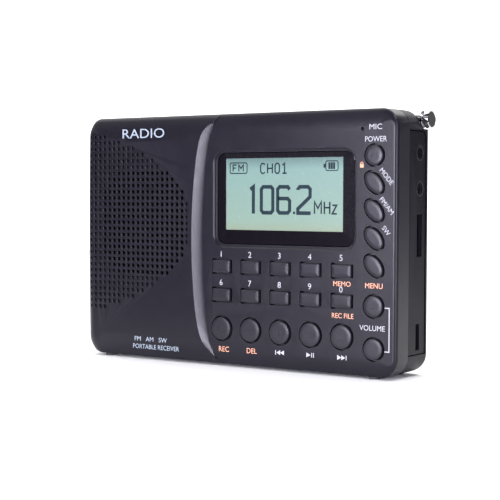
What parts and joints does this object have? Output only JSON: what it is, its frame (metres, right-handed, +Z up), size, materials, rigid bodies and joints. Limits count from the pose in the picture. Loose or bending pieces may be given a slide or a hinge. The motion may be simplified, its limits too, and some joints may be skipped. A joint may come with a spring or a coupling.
{
  "type": "shortwave receiver",
  "caption": "Pocket shortwave receiver in a two-part case with a keypad, a small display, a pierced speaker panel, a flip-out stand and a telescopic antenna.",
  "frame": {"origin": "middle of the base: half way across the case's width and depth, on the surface the feet stand on", "axes": "+X to the right seen from the front, +Y to the rear, +Z up; the front face looks along -Y"},
  "size_m": [0.1224, 0.0209, 0.0803],
  "materials": {
    "panel": "satin, fine moulded texture",
    "shell": "matte, fine moulded texture",
    "keys": "satin",
    "window": "gloss, printed border",
    "lcd": "reflective liquid crystal",
    "diffuser": "diffuse white",
    "board": "solder mask",
    "dark_parts": "moulded",
    "steel": "plated",
    "chrome": "polished",
    "paper": "pressed paper",
    "felt": "woven",
    "battery": "wrapped can",
    "contacts": "plated",
    "ferrite": "sintered",
    "copper": "enamelled wire",
    "rubber": "matte"
  },
  "bodies": {
    "case": {"front_cover": "panel", "back_shell": "shell", "side_port_plate": "shell", "display_window": "window", "lcd_glass": "lcd", "lcd_backlight": "diffuser", "key_board": "board", "key_switches": "dark_parts", "main_board": "board", "board_components": "dark_parts", "speaker_frame": "steel", "speaker_cone": "paper", "speaker_magnet": "steel", "speaker_cloth": "felt", "battery": "battery", "battery_contacts": "contacts", "headphone_jack": "dark_parts", "line_in_jack": "dark_parts", "card_socket": "steel", "usb_socket": "steel", "microphone": "steel", "ferrite_rod": "ferrite", "ferrite_coil": "copper", "case_screws": "steel", "board_screws": "steel", "feet": "rubber", "antenna_bracket": "steel"},
    "kickstand": {"kickstand": "shell"},
    "battery_door": {"battery_door": "shell"},
    "antenna_swivel": {"antenna_swivel": "chrome", "antenna_screw": "steel", "antenna_hinge_pin": "chrome"},
    "antenna_tube_1": {"antenna_tube_1": "chrome"},
    "antenna_tube_2": {"antenna_tube_2": "chrome"},
    "antenna_tube_3": {"antenna_tube_3": "chrome"},
    "antenna_tube_4": {"antenna_tube_4": "chrome"},
    "antenna_tip_rod": {"antenna_tip_rod": "chrome"},
    "key_1": {"key_1": "keys"},
    "key_2": {"key_2": "keys"},
    "key_3": {"key_3": "keys"},
    "key_4": {"key_4": "keys"},
    "key_5": {"key_5": "keys"},
    "key_6": {"key_6": "keys"},
    "key_7": {"key_7": "keys"},
    "key_8": {"key_8": "keys"},
    "key_9": {"key_9": "keys"},
    "key_0": {"key_0": "keys"},
    "key_record": {"key_record": "keys"},
    "key_delete": {"key_delete": "keys"},
    "key_previous": {"key_previous": "keys"},
    "key_play_pause": {"key_play_pause": "keys"},
    "key_next": {"key_next": "keys"},
    "key_power": {"key_power": "keys"},
    "key_mode": {"key_mode": "keys"},
    "key_band": {"key_band": "keys"},
    "key_shortwave": {"key_shortwave": "keys"},
    "key_menu": {"key_menu": "keys"},
    "key_volume_up": {"key_volume_up": "keys"},
    "key_volume_down": {"key_volume_down": "keys"}
  },
  "joints": [
    {"name": "antenna_swivel_turn", "type": "hinge", "parent": "case", "child": "antenna_swivel", "pos_m": [-0.053, 0.0073, 0.07745], "axis": [0, 0, 1], "range_deg": [0, 180]},
    {"name": "antenna_tilt", "type": "hinge", "parent": "antenna_swivel", "child": "antenna_tube_1", "pos_m": [-0.053, 0.0073, 0.07745], "axis": [0, -1, 0], "range_deg": [0, 90]},
    {"name": "antenna_tube_2_slide", "type": "slide", "parent": "antenna_tube_1", "child": "antenna_tube_2", "axis": [1, 0, 0], "range_m": [0, 0.094]},
    {"name": "antenna_tube_3_slide", "type": "slide", "parent": "antenna_tube_2", "child": "antenna_tube_3", "axis": [1, 0, 0], "range_m": [0, 0.094]},
    {"name": "antenna_tube_4_slide", "type": "slide", "parent": "antenna_tube_3", "child": "antenna_tube_4", "axis": [1, 0, 0], "range_m": [0, 0.094]},
    {"name": "antenna_tip_rod_slide", "type": "slide", "parent": "antenna_tube_4", "child": "antenna_tip_rod", "axis": [1, 0, 0], "range_m": [0, 0.094]},
    {"name": "kickstand_hinge", "type": "hinge", "parent": "case", "child": "kickstand", "pos_m": [0.0275, 0.0081, 0.0527], "axis": [1, 0, 0], "range_deg": [0, 40]},
    {"name": "battery_door_lift", "type": "slide", "parent": "case", "child": "battery_door", "axis": [0, 1, 0], "range_m": [0, 0.012]},
    {"name": "key_1_press", "type": "slide", "parent": "case", "child": "key_1", "axis": [0, 1, 0], "range_m": [0, 0.0007], "stiffness_N_per_m": 400},
    {"name": "key_2_press", "type": "slide", "parent": "case", "child": "key_2", "axis": [0, 1, 0], "range_m": [0, 0.0007], "stiffness_N_per_m": 400},
    {"name": "key_3_press", "type": "slide", "parent": "case", "child": "key_3", "axis": [0, 1, 0], "range_m": [0, 0.0007], "stiffness_N_per_m": 400},
    {"name": "key_4_press", "type": "slide", "parent": "case", "child": "key_4", "axis": [0, 1, 0], "range_m": [0, 0.0007], "stiffness_N_per_m": 400},
    {"name": "key_5_press", "type": "slide", "parent": "case", "child": "key_5", "axis": [0, 1, 0], "range_m": [0, 0.0007], "stiffness_N_per_m": 400},
    {"name": "key_6_press", "type": "slide", "parent": "case", "child": "key_6", "axis": [0, 1, 0], "range_m": [0, 0.0007], "stiffness_N_per_m": 400},
    {"name": "key_7_press", "type": "slide", "parent": "case", "child": "key_7", "axis": [0, 1, 0], "range_m": [0, 0.0007], "stiffness_N_per_m": 400},
    {"name": "key_8_press", "type": "slide", "parent": "case", "child": "key_8", "axis": [0, 1, 0], "range_m": [0, 0.0007], "stiffness_N_per_m": 400},
    {"name": "key_9_press", "type": "slide", "parent": "case", "child": "key_9", "axis": [0, 1, 0], "range_m": [0, 0.0007], "stiffness_N_per_m": 400},
    {"name": "key_0_press", "type": "slide", "parent": "case", "child": "key_0", "axis": [0, 1, 0], "range_m": [0, 0.0007], "stiffness_N_per_m": 400},
    {"name": "key_record_press", "type": "slide", "parent": "case", "child": "key_record", "axis": [0, 1, 0], "range_m": [0, 0.0007], "stiffness_N_per_m": 400},
    {"name": "key_delete_press", "type": "slide", "parent": "case", "child": "key_delete", "axis": [0, 1, 0], "range_m": [0, 0.0007], "stiffness_N_per_m": 400},
    {"name": "key_previous_press", "type": "slide", "parent": "case", "child": "key_previous", "axis": [0, 1, 0], "range_m": [0, 0.0007], "stiffness_N_per_m": 400},
    {"name": "key_play_pause_press", "type": "slide", "parent": "case", "child": "key_play_pause", "axis": [0, 1, 0], "range_m": [0, 0.0007], "stiffness_N_per_m": 400},
    {"name": "key_next_press", "type": "slide", "parent": "case", "child": "key_next", "axis": [0, 1, 0], "range_m": [0, 0.0007], "stiffness_N_per_m": 400},
    {"name": "key_power_press", "type": "slide", "parent": "case", "child": "key_power", "axis": [0, 1, 0], "range_m": [0, 0.0007], "stiffness_N_per_m": 400},
    {"name": "key_mode_press", "type": "slide", "parent": "case", "child": "key_mode", "axis": [0, 1, 0], "range_m": [0, 0.0007], "stiffness_N_per_m": 400},
    {"name": "key_band_press", "type": "slide", "parent": "case", "child": "key_band", "axis": [0, 1, 0], "range_m": [0, 0.0007], "stiffness_N_per_m": 400},
    {"name": "key_shortwave_press", "type": "slide", "parent": "case", "child": "key_shortwave", "axis": [0, 1, 0], "range_m": [0, 0.0007], "stiffness_N_per_m": 400},
    {"name": "key_menu_press", "type": "slide", "parent": "case", "child": "key_menu", "axis": [0, 1, 0], "range_m": [0, 0.0007], "stiffness_N_per_m": 400},
    {"name": "key_volume_up_press", "type": "slide", "parent": "case", "child": "key_volume_up", "axis": [0, 1, 0], "range_m": [0, 0.0007], "stiffness_N_per_m": 400},
    {"name": "key_volume_down_press", "type": "slide", "parent": "case", "child": "key_volume_down", "axis": [0, 1, 0], "range_m": [0, 0.0007], "stiffness_N_per_m": 400}
  ]
}
